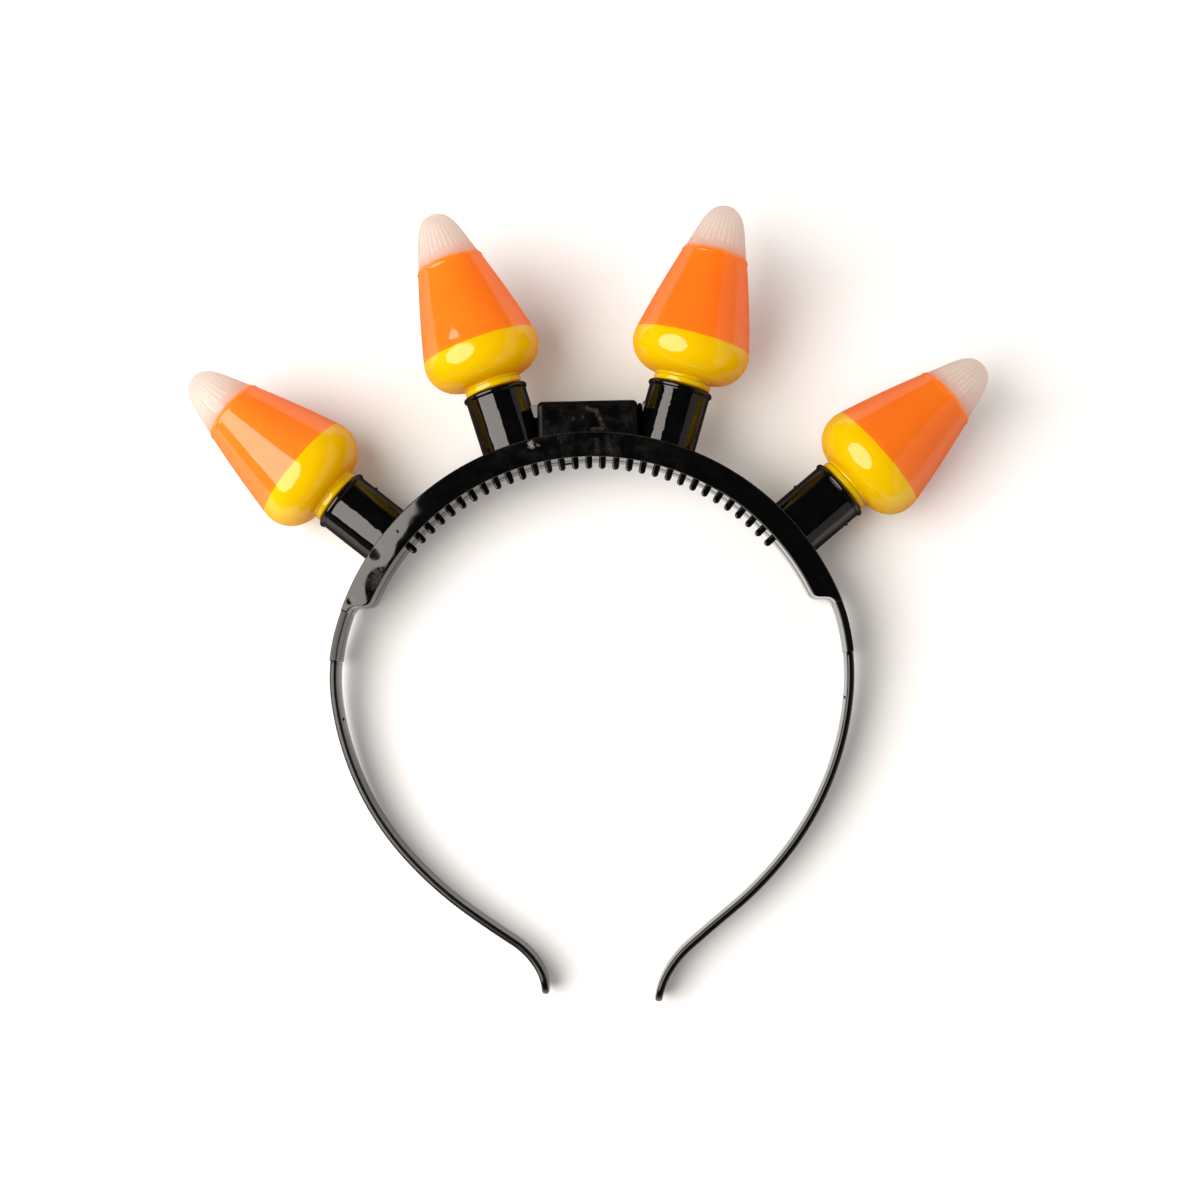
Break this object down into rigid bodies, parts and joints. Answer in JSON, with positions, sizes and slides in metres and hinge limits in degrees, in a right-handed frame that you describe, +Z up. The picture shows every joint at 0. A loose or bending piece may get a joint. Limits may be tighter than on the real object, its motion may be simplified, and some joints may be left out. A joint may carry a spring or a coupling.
{
  "type": "light-up headband",
  "caption": "Hard plastic headband that carries a row of fat cone-shaped bulbs in sockets on its hollow crown, beside a small battery box, with comb teeth inside.",
  "frame": {"origin": "bottom centre of the whole, on the surface that the headband lies on", "axes": "+Z up out of the surface, +Y from the arm tips to the crown and its bulbs, +X to the right"},
  "size_m": [0.2014, 0.1992, 0.0296],
  "materials": {
    "crown_black": "glossy black injection-moulded plastic with fine scuffs",
    "arm_black": "satin black plastic, glossy on the inside",
    "bulb_paint": "glossy plastic in three bands: warm yellow at the neck, bright orange on the cone, milky white at the tip"
  },
  "bodies": {
    "root": {"front_shell": "crown_black", "back_shell": "crown_black", "right_arm": "arm_black", "left_arm": "arm_black", "bulb_outer_left": "bulb_paint", "bulb_inner_left": "bulb_paint", "bulb_inner_right": "bulb_paint", "bulb_outer_right": "bulb_paint"}
  },
  "joints": []
}
